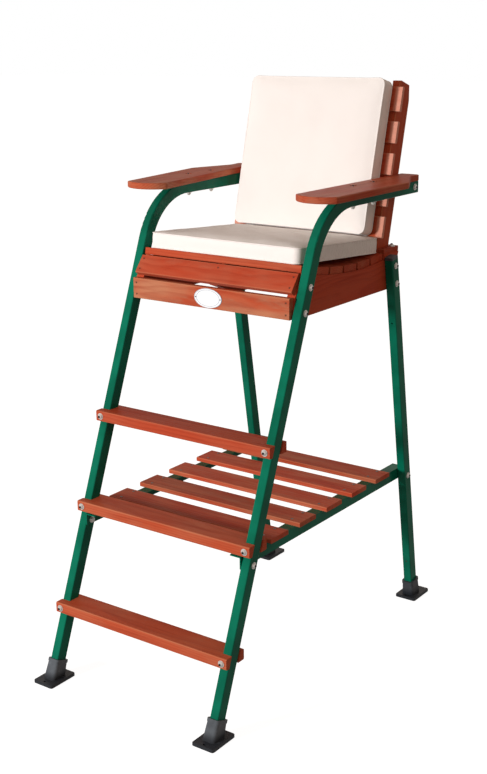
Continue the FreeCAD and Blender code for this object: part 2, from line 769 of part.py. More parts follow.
# Armrests
def armrest(side):
    """An armrest with a bowed front and a narrow tail, bored for its two bolts."""
    inner = armrest_inner
    outer = inner + armrest_width
    drop = armrest_front_radius - math.sqrt(armrest_front_radius ** 2 - (armrest_width / 2) ** 2)
    tip = armrest_front + drop
    tail = armrest_rear - armrest_tail_length
    shoulder = tail - armrest_step_length
    waist = inner + armrest_tail_width
    front = Part.Arc(V(outer, tip, 0), V((inner + outer) / 2, armrest_front, 0), V(inner, tip, 0))
    corners = [V(inner, tip, 0), V(inner, armrest_rear, 0), V(waist, armrest_rear, 0), V(waist, tail, 0),
               V(outer, shoulder, 0), V(outer, tip, 0)]
    wire = Part.Wire([front.toShape()] + [Part.makeLine(a, b) for a, b in zip(corners, corners[1:])])
    board = Part.Face(wire).extrude(V(0, 0, armrest_thickness))

    def upright(y_low, y_high):
        return [edge for edge in board.Edges if abs(edge.tangentAt(edge.FirstParameter).z) > 0.9
                and y_low < edge.CenterOfMass.y < y_high]

    board = board.makeFillet(armrest_corner_round, upright(tip - 1, tip + 1) + upright(armrest_rear - 1,
                                                                                   armrest_rear + 1))
    board = board.makeFillet(armrest_step_round, upright(shoulder - 1, tail + 1))
    board = board.makeFillet(armrest_edge_round, [edge for edge in board.Edges
                                                  if abs(edge.tangentAt(edge.FirstParameter).z) < 0.1])
    board = mirrored(board, side)
    board.translate(V(0, 0, arm_top))
    points = armrest_bolt_points
    if side == "left":
        points = [V(-p.x, p.y, p.z) for p in points]
        board.rotate((points[0] + points[1]) * 0.5, Z_AXIS, left_armrest_turn)
        board.translate(V(left_armrest_shift, 0, 0))
    holes = [rod(p, Z_AXIS, armrest_thickness, counterbore_diameter) for p in points]
    holes += [rod(p, Z_AXIS * -1, armrest_thickness, bolt_hole) for p in points]
    return pierced(board, holes)


for side in ("left", "right"):
    save(armrest(side), "armrest_" + side)

armrest_bolts, armrest_nuts = joint_bolts(armrest_bolt_points, Z_AXIS,
                                          armrest_thickness - counterbore_depth + tube_depth, domed=True)
save(Part.makeCompound(both_sides(armrest_bolts)), "armrest_bolts")
save(Part.makeCompound(both_sides(armrest_nuts)), "armrest_nuts")

box_grip = tube_width + side_board_thickness
box_bolts, box_nuts = joint_bolts(seat_bolt_points + rear_bolt_points[1:], X_AXIS, box_grip)
back_bolts, back_nuts = joint_bolts(rear_bolt_points[:1], X_AXIS, box_grip + stile_thickness)
save(Part.makeCompound(both_sides(box_bolts + back_bolts)), "seat_box_bolts")
save(Part.makeCompound(both_sides(box_nuts + back_nuts)), "seat_box_nuts")


# Cushions: lofted through sections that swell in the middle and draw in at the ends
def cushion_section(x, depth, thickness, crown, bulge):
    """A closed section across a cushion, with a round corner between every two sides."""
    nip = cushion_nip
    half = depth / 2
    low = thickness * 0.5 - (thickness / 2 - nip)
    high = thickness * 0.5 + (thickness / 2 - nip)
    slant = nip * (1 - math.sqrt(0.5))
    top = thickness
    points = [
        (V(x, -half + nip, 0), V(x, 0, -bulge * 0.5), V(x, half - nip, 0)),
        (V(x, half - nip, 0), V(x, half - slant, slant), V(x, half, low)),
        (V(x, half, low), V(x, half + bulge, thickness / 2), V(x, half, high)),
        (V(x, half, high), V(x, half - slant, top - slant), V(x, half - nip, top)),
        (V(x, half - nip, top), V(x, 0, top + crown), V(x, -half + nip, top)),
        (V(x, -half + nip, top), V(x, -half + slant, top - slant), V(x, -half, high)),
        (V(x, -half, high), V(x, -half - bulge, thickness / 2), V(x, -half, low)),
        (V(x, -half, low), V(x, -half + slant, slant), V(x, -half + nip, 0)),
    ]
    return Part.Wire([Part.Arc(*three).toShape() for three in points])


def cushion(width, depth, thickness, crown):
    """A box cushion lying flat, its underside at Z = 0 and its crown upward."""
    half = width / 2
    sections = []
    for station in range(-cushion_stations, cushion_stations + 1):
        share = math.sin(math.pi / 2 * station / cushion_stations)
        swell = math.sqrt(1 - abs(share) ** cushion_swell)
        squeeze = 1 - cushion_squeeze * (1 - swell)
        rise = thickness * (1 - squeeze) / 2
        fullness = 0.2 + 0.8 * swell
        wire = cushion_section(share * half, depth - 2 * cushion_bulge * (1 - swell), thickness * squeeze,
                               crown * fullness, cushion_bulge * fullness)
        wire.translate(V(0, 0, rise))
        sections.append(wire)
    return Part.makeLoft(sections, True, True)


# The seat cushion lies tilted in the hollow and rests on the first and the last slat
tilt = math.radians(seat_cushion_tilt)
seat_cushion_y = rear_board_front - seat_cushion_inset - seat_cushion_depth / 2 * math.cos(tilt)
seat_cushion_flat = (seat_cushion_depth / 2 - cushion_nip) * math.cos(tilt)
seat_cushion_height = seat_cushion_clearance + max(
    dish(seat_cushion_y + side * seat_cushion_flat, seat_slat_thickness)
    + side * seat_cushion_flat * math.tan(tilt) for side in (-1, 1))
seat_cushion = cushion(seat_cushion_width, seat_cushion_depth, seat_cushion_thickness, seat_cushion_crown)
seat_cushion.rotate(V(0, 0, 0), X_AXIS, -seat_cushion_tilt)
seat_cushion.translate(V(0, seat_cushion_y, seat_cushion_height))
save(seat_cushion, "seat_cushion")

back_cushion = cushion(back_cushion_width, back_cushion_height, back_cushion_thickness, back_cushion_crown)
back_cushion = laid_on_back(back_cushion, back_cushion_foot + back_cushion_height / 2,
                            back_slat_thickness + cushion_bulge / 2 + cushion_clearance)
save(back_cushion, "back_cushion")
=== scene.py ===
import math
import random

import bpy
import numpy as np
from mathutils import Matrix, Vector, noise
from mathutils.bvhtree import BVHTree


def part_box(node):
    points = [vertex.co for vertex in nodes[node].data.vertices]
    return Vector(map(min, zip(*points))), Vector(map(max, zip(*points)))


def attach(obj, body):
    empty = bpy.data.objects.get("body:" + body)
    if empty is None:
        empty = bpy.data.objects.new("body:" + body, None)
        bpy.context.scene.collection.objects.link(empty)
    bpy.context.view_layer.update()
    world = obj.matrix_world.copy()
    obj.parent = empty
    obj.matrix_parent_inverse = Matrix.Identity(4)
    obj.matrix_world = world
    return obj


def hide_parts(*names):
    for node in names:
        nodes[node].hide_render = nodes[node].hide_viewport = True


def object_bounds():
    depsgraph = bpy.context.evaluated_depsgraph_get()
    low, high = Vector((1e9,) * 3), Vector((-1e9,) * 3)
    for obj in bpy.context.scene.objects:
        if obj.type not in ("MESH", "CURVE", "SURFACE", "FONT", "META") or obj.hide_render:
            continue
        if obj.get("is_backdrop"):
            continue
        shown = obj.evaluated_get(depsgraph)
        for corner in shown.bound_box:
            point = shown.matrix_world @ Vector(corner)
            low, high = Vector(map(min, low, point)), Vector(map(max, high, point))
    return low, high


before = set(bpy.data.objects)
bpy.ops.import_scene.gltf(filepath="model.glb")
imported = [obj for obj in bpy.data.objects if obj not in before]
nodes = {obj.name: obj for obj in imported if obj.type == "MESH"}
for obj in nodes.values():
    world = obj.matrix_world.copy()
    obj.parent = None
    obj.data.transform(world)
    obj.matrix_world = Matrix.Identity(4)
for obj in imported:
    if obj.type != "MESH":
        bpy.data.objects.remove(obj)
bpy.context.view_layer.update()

X_AXIS = Vector((1, 0, 0))
Y_AXIS = Vector((0, 1, 0))
Z_AXIS = Vector((0, 0, 1))


# The place where the chair stands: a pale floor without an edge, soft warm light from all round, and
# one lamp low in front and to the left, which lights the fronts of the boards. Nothing mirrors the
# lamp, and the left arm throws no shadow of it on the back cushion.
camera_place = Vector((2.2643, -3.1382, 1.9770))
camera_turn = math.radians(35.811)
camera_dip = math.radians(-15.959)
camera_roll = math.radians(-0.457)
camera_lens = 58.33
camera_sensor = 36.0
pure_white = (1.0, 1.0, 1.0, 1.0)
floor_size = 80.0
floor_glow = 0.92
floor_grey = (0.30, 0.30, 0.30, 1.0)
ambient_colour = (1.0, 0.82, 0.70, 1.0)
ambient_strength = 0.43
mirrored_white = 0.25
lamp_bearing = math.radians(-21.0)
lamp_rise = math.radians(10.5)
lamp_distance = 7.0
lamp_size = 0.8
lamp_power = 455.0
lamp_target = Vector((0.0, 0.0, 0.95))
without_lamp_shadow = ("armrest_left", "front_frame_left", "armrest_bolts", "armrest_nuts")


class Value:
    """One socket of a material, which adds and multiplies like a number."""

    def __init__(self, shader, socket):
        self.shader = shader
        self.socket = socket

    def __add__(self, other):
        return self.shader.maths("ADD", self, other)

    def __radd__(self, other):
        return self.shader.maths("ADD", other, self)

    def __sub__(self, other):
        return self.shader.maths("SUBTRACT", self, other)

    def __rsub__(self, other):
        return self.shader.maths("SUBTRACT", other, self)

    def __mul__(self, other):
        return self.shader.maths("MULTIPLY", self, other)

    def __rmul__(self, other):
        return self.shader.maths("MULTIPLY", other, self)

    def __truediv__(self, other):
        return self.shader.maths("DIVIDE", self, other)

    def __pow__(self, other):
        return self.shader.maths("POWER", self, other)


class Shader:
    """The node tree of one material or of the world."""

    def __init__(self, owner):
        owner.use_nodes = True
        self.owner = owner
        self.tree = owner.node_tree
        self.tree.nodes.clear()

    def node(self, kind, settings=None, values=(), output=0):
        """Adds a node, sets it up, then gives its sockets their values or links."""
        node = self.tree.nodes.new(kind)
        for key, setting in (settings or {}).items():
            setattr(node, key, setting)
        pairs = values.items() if isinstance(values, dict) else enumerate(values)
        for key, value in pairs:
            if isinstance(value, Value):
                self.tree.links.new(value.socket, node.inputs[key])
            else:
                node.inputs[key].default_value = value
        return Value(self, node.outputs[output]) if node.outputs else None

    def maths(self, operation, *values):
        return self.node("ShaderNodeMath", {"operation": operation}, values)

    def along(self, vector, direction, start=0.0):
        """How far a point lies along a direction."""
        distance = self.node("ShaderNodeVectorMath", {"operation": "DOT_PRODUCT"},
                             [vector, tuple(direction)], output="Value")
        return distance - start

    def point(self, x, y, z):
        return self.node("ShaderNodeCombineXYZ", values=[x, y, z])

    def grain(self, vector, scale, detail=2.0, rough=0.5):
        """Soft noise from 0 to 1."""
        return self.node("ShaderNodeTexNoise", {"noise_dimensions": "3D"},
                         {"Vector": vector, "Scale": scale, "Detail": detail, "Roughness": rough})

    def step(self, value, low, high, start=0.0, end=1.0):
        """A smooth step from start to end between low and high."""
        return self.node("ShaderNodeMapRange", {"interpolation_type": "SMOOTHSTEP"},
                         [value, low, high, start, end])

    def blend(self, share, first, second):
        """A mix of two colours. The sockets go by number, because a Mix node's names repeat."""
        return self.node("ShaderNodeMix", {"data_type": "RGBA"}, {0: share, 6: first, 7: second},
                         output=2)

    def surface(self, height=None, depth=0.001, **values):
        """Ends a material in one coated surface, with a bump where a height is given."""
        named = {key.replace("_", " "): value for key, value in values.items()}
        if height is not None:
            named["Normal"] = self.node("ShaderNodeBump", values={"Height": height, "Distance": depth})
        body = self.node("ShaderNodeBsdfPrincipled", values=named)
        self.node("ShaderNodeOutputMaterial", values=[body])
        return self.owner


def new_shader(name):
    """A new material's node tree and the place of a point on the piece."""
    shader = Shader(bpy.data.materials.new(name))
    return shader, shader.node("ShaderNodeTexCoord", output="Object")


def seen_directly(shader):
    """1 for what the camera sees itself, less for what it sees mirrored, and 0 for soft light."""
    looks = [shader.node("ShaderNodeLightPath", output=kind)
             for kind in ("Is Camera Ray", "Is Transmission Ray", "Is Glossy Ray")]
    return looks[0] + looks[1] + looks[2] * mirrored_white


def select_only(*pieces):
    """Selects these pieces and nothing else, and makes the first one active."""
    bpy.ops.object.select_all(action="DESELECT")
    for piece in pieces:
        piece.select_set(True)
    if pieces:
        bpy.context.view_layer.objects.active = pieces[0]


camera = bpy.data.objects.new("camera", bpy.data.cameras.new("camera"))
bpy.context.scene.collection.objects.link(camera)
camera.data.sensor_width = camera_sensor
camera.data.lens = camera_lens
camera.data.clip_end = floor_size * 2
camera.matrix_world = (Matrix.Translation(camera_place) @ Matrix.Rotation(camera_turn, 4, "Z")
                       @ Matrix.Rotation(math.pi / 2 + camera_dip, 4, "X")
                       @ Matrix.Rotation(camera_roll, 4, "Z"))
bpy.context.scene.camera = camera
bpy.context.scene.view_settings.view_transform = "Standard"

world = bpy.data.worlds.new("studio")
bpy.context.scene.world = world
sky = Shader(world)
ambient = sky.node("ShaderNodeBackground", values=[ambient_colour, ambient_strength])
white = sky.node("ShaderNodeBackground", values=[pure_white, 1.0])
sky.node("ShaderNodeOutputWorld", values=[
    sky.node("ShaderNodeMixShader", values=[seen_directly(sky), ambient, white])])

lamp = bpy.data.objects.new("lamp", bpy.data.lights.new("lamp", "AREA"))
bpy.context.scene.collection.objects.link(lamp)
lamp.data.shape = "SQUARE"
lamp.data.size = lamp_size
lamp.data.energy = lamp_power
lamp.visible_glossy = False
lamp_way = Vector((math.sin(lamp_bearing) * math.cos(lamp_rise),
                   -math.cos(lamp_bearing) * math.cos(lamp_rise), math.sin(lamp_rise)))
lamp.location = lamp_target + lamp_way * lamp_distance
lamp.rotation_euler = lamp_way.to_track_quat("Z", "Y").to_euler()

shadowless = bpy.data.collections.new("shadowless")
for name in without_lamp_shadow:
    shadowless.objects.link(nodes[name])
lamp.light_linking.blocker_collection = shadowless
for linked in shadowless.collection_objects:
    linked.light_linking.link_state = "EXCLUDE"

select_only()
bpy.ops.mesh.primitive_plane_add(size=floor_size)
floor = bpy.context.object
floor.name = "floor"
ground = Shader(bpy.data.materials.new("pale_floor"))
matt = ground.node("ShaderNodeBsdfDiffuse", values=[floor_grey])
glow = ground.node("ShaderNodeEmission", values=[pure_white, floor_glow])
lit = ground.node("ShaderNodeAddShader", values=[matt, glow])
ground.node("ShaderNodeOutputMaterial", values=[
    ground.node("ShaderNodeMixShader", values=[seen_directly(ground), matt, lit])])
floor.data.materials.append(ground.owner)
floor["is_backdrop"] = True


# Front and rear tubes: rectangular steel tube, bent at the arms, sprayed a deep green with a smooth
# gloss. The angles under the shelf are painted with it.
paint_green = (0.0024, 0.154, 0.089, 1.0)
paint_deep = (0.0012, 0.106, 0.060, 1.0)
paint_cloud_size = 9.0
paint_cloud_edge = (0.35, 0.70)
paint_peel_size = 420.0
paint_peel_depth = 0.00012
paint_roughness = 0.15
paint_dulled = 0.10
paint_shine = 0.09


def dress(names, material):
    """Gives CAD nodes one material."""
    for name in names:
        nodes[name].data.materials.clear()
        nodes[name].data.materials.append(material)


def sides(name):
    return [name + "_left", name + "_right"]


def green_paint():
    """Gloss paint over steel, a little uneven where it ran before it dried."""
    shader, place = new_shader("green_paint")
    cloud = shader.grain(place, paint_cloud_size, detail=3.0)
    peel = shader.grain(place, paint_peel_size)
    return shader.surface(
        height=peel, depth=paint_peel_depth,
        Base_Color=shader.blend(shader.step(cloud, *paint_cloud_edge), paint_green, paint_deep),
        Roughness=paint_roughness + paint_dulled * cloud, Specular_IOR_Level=paint_shine)


dress(sides("front_frame") + sides("rear_leg") + sides("shelf_rail"), green_paint())


# Feet, tube caps and plugs: moulded black plastic with a fine spark finish and pale scuffs in patches.
# The sleeves are made paler than the plates, and paler at the front than at the rear. The caps and
# plugs are pressed into the tubes.
plastic_black = (0.018, 0.021, 0.026, 1.0)
plastic_pale = (0.138, 0.156, 0.175, 1.0)
plastic_cloud_size = 34.0
plastic_spark_size = 900.0
plastic_spark_depth = 0.0003
plastic_roughness = 0.34
plastic_dulled = 0.2
plastic_shine = 0.38
front_rear_span = (0.2, -0.2)
rear_paleness = 0.35
sleeve_heights = (0.012, 0.040)
sleeve_pale_least = 0.25
sleeve_pale_share = 0.9
scuff_edge = (0.60, 0.78)
scuff_share = 0.35


def moulded_plastic():
    """Dark plastic with a pebbled skin, pale scuffs, and sleeves made paler toward the front."""
    shader, place = new_shader("moulded_plastic")
    cloud = shader.grain(place, plastic_cloud_size, detail=4.0, rough=0.6)
    spark = shader.grain(place, plastic_spark_size)
    # Paler up the sleeves and toward the front, darker toward the rear.
    toward_front = shader.step(shader.along(place, Y_AXIS), *front_rear_span, start=rear_paleness)
    sleeve_pale = shader.step(shader.along(place, Z_AXIS), *sleeve_heights) * (
        sleeve_pale_least + (1 - sleeve_pale_least) * cloud) * toward_front
    paleness = sleeve_pale * sleeve_pale_share + shader.step(cloud, *scuff_edge) * scuff_share
    return shader.surface(
        height=spark, depth=plastic_spark_depth,
        Base_Color=shader.blend(paleness, plastic_black, plastic_pale),
        Roughness=plastic_roughness + plastic_dulled * cloud, Specular_IOR_Level=plastic_shine)


dress(sides("foot_front") + sides("foot_rear") + ["rear_leg_caps", "arm_tube_plugs"],
      moulded_plastic())


# Treads: thick planed softwood boards under a reddish varnish that pools in the pores, lets the
# rings show, and wears thin along the arrises; the arrises are painted paler for that wear and as a
# painted highlight on their rounding. They are notched round the front tubes and bolted on.
varnish_red = (0.445, 0.066, 0.027)
varnish_dark = (0.24, 0.022, 0.010)
varnish_pale = (0.50, 0.205, 0.112)
varnish_bare = (0.41, 0.135, 0.075)
varnish_painted_sheen = (0.78, 0.40, 0.30, 1.0)
varnish_roughness = 0.34
varnish_shine = 0.045
board_tones = (0.90, 1.12)
board_warmth = (0.85, 1.20)
trunk_length = 40.0
pith_depth = (0.05, 0.14)
pith_side = 0.05
ring_width = 0.0075
ring_sway = (0.05, 0.03)
late_wood = (0.25, 0.85)
ring_end = (1.0, 0.88)
sway_sizes = (2.2, 7.0)
pore_sizes = (14.0, 520.0)
streak_sizes = (3.0, 70.0)
cloud_sizes = (5.0, 16.0)
patch_sizes = (7.0, 26.0)
cloud_edge = (0.30, 0.75)
patch_edge = (0.48, 0.74)
pore_edge = (0.52, 0.78)
patch_share = 1.25
ring_shade = 0.22
pore_shade = 0.36
streak_shade = 0.46
arris_wear_and_highlight_share = 0.45
arris_reach = 0.0045
arris_fullest = 0.0005
arris_sway = 0.004
painted_sheen_edge = 0.012
painted_sheen_shares = (0.45, 0.4)
ring_relief = 0.35
pore_relief = 0.5
streak_relief = 0.3
wood_relief_depth = 0.0005
streak_dulled = 0.14
worn_dulled = 0.10


def points_of(mesh):
    """A mesh's points, one to a row."""
    points = np.zeros(len(mesh.vertices) * 3, np.float32)
    mesh.vertices.foreach_get("co", points)
    return points.reshape(-1, 3)


def reach(name, direction):
    """Where a CAD node starts and ends along a direction, in metres."""
    spread = points_of(nodes[name].data) @ np.array(direction, np.float32)
    return float(spread.min()), float(spread.max())


def varnished_wood(name, along, across, tone, fade_and_sheen, covered):
    """The wood of one board, sawn at its own place in the tree, and painted paler as a painted sheen beyond
    what covers it.
    """
    chance = random.Random(name)
    shader, place = new_shader("wood_" + name)
    axes = (along, across, along.cross(across))
    spans = [reach(name, axis) for axis in axes]
    u, v, w = (shader.along(place, axis, (low + high) / 2) for axis, (low, high) in zip(axes, spans))
    shift = chance.uniform(0, trunk_length)
    pith_v = chance.uniform(-pith_side, pith_side)
    pith_w = -chance.uniform(*pith_depth)

    def figure(sizes, detail=2.0, rough=0.5, start=shift):
        """Noise drawn out along the board."""
        lengthwise, crosswise = sizes
        return shader.grain(shader.point(u * lengthwise + start, v * crosswise, w * crosswise),
                            1.0, detail, rough)

    sway = figure(sway_sizes) - 0.5
    from_pith = (v - pith_v + sway * ring_sway[0], w - pith_w + sway * ring_sway[1])
    rings = (from_pith[0] * from_pith[0] + from_pith[1] * from_pith[1]) ** 0.5 / ring_width
    late = shader.maths("FRACT", rings)
    band = shader.step(late, *late_wood) * shader.step(late, *ring_end)
    pores = figure(pore_sizes, detail=3.0, rough=0.65)
    streak = figure(streak_sizes, detail=3.0)
    cloud = figure(cloud_sizes)
    patch = figure(patch_sizes, detail=3.0, rough=0.6, start=-shift)

    near = [(high - low) / 2 - shader.maths("ABSOLUTE", part)
            for part, (low, high) in zip((v, w), spans[1:])]
    arris = (near[0] * near[0] + near[1] * near[1]) ** 0.5
    # Paler along the arrises: the varnish's real wear, and a painted highlight on the rounded edges.
    arris_wear_and_highlight = shader.step(arris + (streak - 0.5) * arris_sway, arris_reach, arris_fullest)

    lighter = chance.uniform(*board_tones) * tone
    warmer = chance.uniform(*board_warmth)
    red, dark, pale, bare = (
        tuple(min(1.0, part * lighter * (warmer if index else 1.0))
              for index, part in enumerate(colour)) + (1.0,)
        for colour in (varnish_red, varnish_dark, varnish_pale, varnish_bare))
    # Paler clouds: the board's fading, and on the shelf boards also a painted sheen.
    colour = shader.blend(shader.step(cloud, *cloud_edge) * fade_and_sheen, red, pale)
    colour = shader.blend(shader.step(patch, *patch_edge) * (patch_share * fade_and_sheen), colour, bare)
    colour = shader.blend(band * ring_shade + shader.step(pores, *pore_edge) * pore_shade, colour, dark)
    colour = shader.blend(shader.step(streak, *pore_edge) * streak_shade, colour, dark)
    colour = shader.blend(arris_wear_and_highlight * arris_wear_and_highlight_share, colour, pale)
    # Beyond the cushion the slats are painted pale and pink: a painted sheen on their lit ends.
    if covered:
        painted_sheen_end = shader.step(shader.maths("ABSOLUTE", u), covered, covered + painted_sheen_edge)
        colour = shader.blend(painted_sheen_end * (painted_sheen_shares[0] + painted_sheen_shares[1] * streak),
                              colour, varnish_painted_sheen)
    return shader.surface(
        height=pores * pore_relief - band * ring_relief + streak * streak_relief,
        depth=wood_relief_depth, Base_Color=colour,
        Roughness=varnish_roughness + streak_dulled * streak + worn_dulled * arris_wear_and_highlight,
        Specular_IOR_Level=varnish_shine)


def varnish(names, along, across, tone=1.0, fade_and_sheen=0.20, covered=None):
    """Gives every board its own piece of varnished wood."""
    for name in names:
        dress([name], varnished_wood(name, along, across, tone, fade_and_sheen, covered))


varnish(["tread_lower", "tread_middle", "tread_upper"], X_AXIS, Y_AXIS)


# Shelf: five thin boards of the same wood, each held at both ends by two countersunk screws that
# go down into the steel angles.
shelf_slats = ["shelf_slat_" + str(index + 1) for index in range(5)]
shelf_screw_from_end = 0.039
shelf_screw_from_middle = 0.030
shelf_screw_radius = 0.0042
shelf_screw_height = 0.0012
shelf_screw_steel = (0.34, 0.32, 0.30)
head_sides = 16
faces_up = 0.9
head_round = (0.12, 0.3)
head_rim = 0.38
head_recess = 0.0009
plate_cloud_size = 260.0
plate_cloud_edge = (0.45, 0.70)
plate_cloud_depth = 0.0001
plate_darkened = 0.55
plate_dulled = 0.25
corner_ways = [(side, row) for side in (-1, 1) for row in (-1, 1)]


def small_head(radius, height):
    """A flat round screw or nail head with a recess, modelled at the origin with its top upwards."""
    select_only()
    bpy.ops.mesh.primitive_cylinder_add(vertices=head_sides, radius=radius, depth=height)
    head = bpy.context.object
    bpy.ops.object.mode_set(mode="EDIT")
    bpy.ops.mesh.select_all(action="DESELECT")
    bpy.ops.object.mode_set(mode="OBJECT")
    for face in head.data.polygons:
        face.select = face.normal.z > faces_up
    bpy.ops.object.mode_set(mode="EDIT")
    bpy.ops.mesh.inset(thickness=radius * head_round[0], depth=height * head_round[1])
    bpy.ops.mesh.inset(thickness=radius * head_rim, depth=0.0)
    bpy.ops.mesh.extrude_region_move(TRANSFORM_OT_translate={"value": (0, 0, -head_recess)})
    bpy.ops.object.mode_set(mode="OBJECT")
    return head


def copies(name, model, spots, body):
    """One piece made of copies of a model, each set on its spot with its top outward."""
    made = []
    for point, outward in spots:
        copy = bpy.data.objects.new(name, model.data.copy())
        bpy.context.scene.collection.objects.link(copy)
        turned = outward.to_track_quat("Z", "Y").to_matrix().to_4x4()
        copy.data.transform(Matrix.Translation(point) @ turned)
        made.append(copy)
    select_only(*made)
    bpy.ops.object.join()
    made[0].name = name
    bpy.data.objects.remove(model)
    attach(made[0], body)
    return made[0]


def plated_steel(name, colour, roughness, metal=1.0):
    """Plated steel with faint wear."""
    shader, place = new_shader(name)
    cloud = shader.grain(place, plate_cloud_size, detail=3.0, rough=0.6)
    darkened = tuple(part * plate_darkened for part in colour)
    return shader.surface(
        height=cloud, depth=plate_cloud_depth,
        Base_Color=shader.blend(shader.step(cloud, *plate_cloud_edge), colour + (1.0,), darkened + (1.0,)),
        Metallic=metal, Roughness=roughness + plate_dulled * cloud)


# The shelf boards are paler and pinker than the treads: partly their fading, partly a painted sheen on
# their tops.
varnish(shelf_slats, X_AXIS, Y_AXIS, tone=1.04, fade_and_sheen=0.45)
screw_spots = []
for slat in shelf_slats:
    low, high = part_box(slat)
    middle = (low.y + high.y) / 2
    for side, row in corner_ways:
        point = Vector((side * (high.x - shelf_screw_from_end),
                        middle + row * shelf_screw_from_middle, high.z))
        screw_spots.append((point, Z_AXIS))
shelf_screws = copies("shelf_screws", small_head(shelf_screw_radius, shelf_screw_height),
                      screw_spots, "chair")
screw_steel = plated_steel("screw_steel", shelf_screw_steel, roughness=0.35)
shelf_screws.data.materials.append(screw_steel)


# Seat box: two side boards and a joist on edge, hollowed on top, six slats laid in the hollow, a
# sloping board at the front edge and an apron under it, all nailed. One more small head, a screw, holds
# each rear foot to its tube.
seat_slats = ["seat_slat_" + str(index + 1) for index in range(6)]
nose_tilt = math.radians(52.0)
nose_across = Vector((0, math.cos(nose_tilt), math.sin(nose_tilt)))
nose_outward = Vector((0, -math.sin(nose_tilt), math.cos(nose_tilt)))
nail_steel = (0.16, 0.12, 0.10)
nail_radius = 0.0028
nail_height = 0.0008
nail_from_end = 0.012
apron_nail_rise = 0.018
nose_nail_in = 0.014
nose_middle_nail = 0.009
rear_lean = math.radians(9.4)
rear_up = Vector((0, -math.sin(rear_lean), math.cos(rear_lean)))
rear_outward = Vector((0, -math.cos(rear_lean), -math.sin(rear_lean)))
foot_screw_height = 0.145

varnish(sides("seat_side_board") + ["seat_joist"], Y_AXIS, Z_AXIS, tone=1.12, fade_and_sheen=0.06)
varnish(["seat_apron"], X_AXIS, Z_AXIS, tone=1.05, fade_and_sheen=0.75)
varnish(["seat_nose_slat"], X_AXIS, nose_across, fade_and_sheen=0.42)
varnish(seat_slats + ["seat_rear_board"], X_AXIS, Y_AXIS)

nail_spots = []
for leg in sides("rear_leg"):
    low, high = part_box(leg)
    face = rear_outward * reach(leg, rear_outward)[1]
    point = face + rear_up * (foot_screw_height - face.z) / rear_up.z
    nail_spots.append((Vector(((low.x + high.x) / 2, point.y, point.z)), rear_outward))

apron_low, apron_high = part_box("seat_apron")
apron_middle = (apron_low.z + apron_high.z) / 2
nail_x = apron_high.x - nail_from_end
for side, row in corner_ways:
    point = Vector((side * nail_x, apron_low.y, apron_middle + row * apron_nail_rise))
    nail_spots.append((point, -Y_AXIS))

nose_start, nose_end = reach("seat_nose_slat", nose_across)
nose_rows = (nose_start + nose_nail_in, nose_end - nose_nail_in)
nose_face = nose_outward * reach("seat_nose_slat", nose_outward)[1]
nose_nails = [(side * nail_x, row) for side in (-1, 1) for row in nose_rows]
for x, row in nose_nails + [(nose_middle_nail, nose_rows[1])]:
    nail_spots.append((X_AXIS * x + nose_across * row + nose_face, nose_outward))

seat_nails = copies("seat_nails", small_head(nail_radius, nail_height), nail_spots, "chair")
seat_nails.data.materials.append(plated_steel("nail_steel", nail_steel, roughness=0.5))


# Badge: a thin pressed oval with a rolled rim, enamelled white, with one thin ring inside the rim and
# nothing else on it, fixed by a small screw at either end.
badge_white = (0.86, 0.87, 0.88, 1.0)
badge_blue = (0.20, 0.30, 0.42, 1.0)
badge_ring = (0.80, 0.86)
badge_ring_soft = 0.02
badge_ring_share = 0.75
badge_rim = (0.945, 0.975)
badge_rim_share = 0.65
badge_cloud_size = 60.0
badge_roughness = 0.22
badge_dulled = 0.1
badge_shine = 0.4
badge_coat = 0.2
badge_coat_roughness = 0.1
badge_screw_inset = 0.0055
badge_screw_radius = 0.0019


def enamel(centre, half):
    """White enamel with a thin ring that follows the oval."""
    shader, place = new_shader("badge_enamel")
    x = shader.along(place, X_AXIS, centre.x) / half.x
    z = shader.along(place, Z_AXIS, centre.z) / half.z
    outward = (x * x + z * z) ** 0.5
    inner, outer = badge_ring
    ring = shader.step(outward, inner, inner + badge_ring_soft) * shader.step(
        outward, outer, outer - badge_ring_soft)
    rim = shader.step(outward, *badge_rim)
    cloud = shader.grain(place, badge_cloud_size)
    return shader.surface(
        Base_Color=shader.blend(ring * badge_ring_share + rim * badge_rim_share, badge_white, badge_blue),
        Roughness=badge_roughness + badge_dulled * cloud, Specular_IOR_Level=badge_shine,
        Coat_Weight=badge_coat, Coat_Roughness=badge_coat_roughness)


badge_low, badge_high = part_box("badge_plate")
badge_middle = (badge_low + badge_high) / 2
dress(["badge_plate"], enamel(badge_middle, (badge_high - badge_low) / 2))
badge_screw_x = badge_high.x - badge_screw_inset
badge_spots = [(Vector((badge_middle.x + side * badge_screw_x, badge_low.y, badge_middle.z)), -Y_AXIS)
               for side in (-1, 1)]
badge_screws = copies("badge_screws", small_head(badge_screw_radius, nail_height), badge_spots, "chair")
badge_screws.data.materials.append(screw_steel)


# Back: two uprights inside the side boards, five slats across their fronts and a bar behind them
# between the arms, in the same wood. The slats' ends, which the cushion leaves bare, are painted pale
# and pink as a painted sheen.
back_lean = math.radians(14.0)
back_up = Vector((0, math.sin(back_lean), math.cos(back_lean)))
back_out = Vector((0, -math.cos(back_lean), math.sin(back_lean)))
back_slats = ["back_slat_" + str(index + 1) for index in range(5)]

varnish(sides("back_stile"), back_up, back_out, tone=1.12, fade_and_sheen=0.06)
varnish(back_slats, X_AXIS, back_up, fade_and_sheen=0.06, covered=reach("back_cushion", X_AXIS)[1])
varnish(["back_bar"], X_AXIS, back_up)


# Armrests: wide boards with a bowed front and a narrow tail, bolted down through counterbores on to
# the arm tubes. The left one sits a few degrees askew.
varnish(sides("armrest"), Y_AXIS, X_AXIS, fade_and_sheen=0.40)


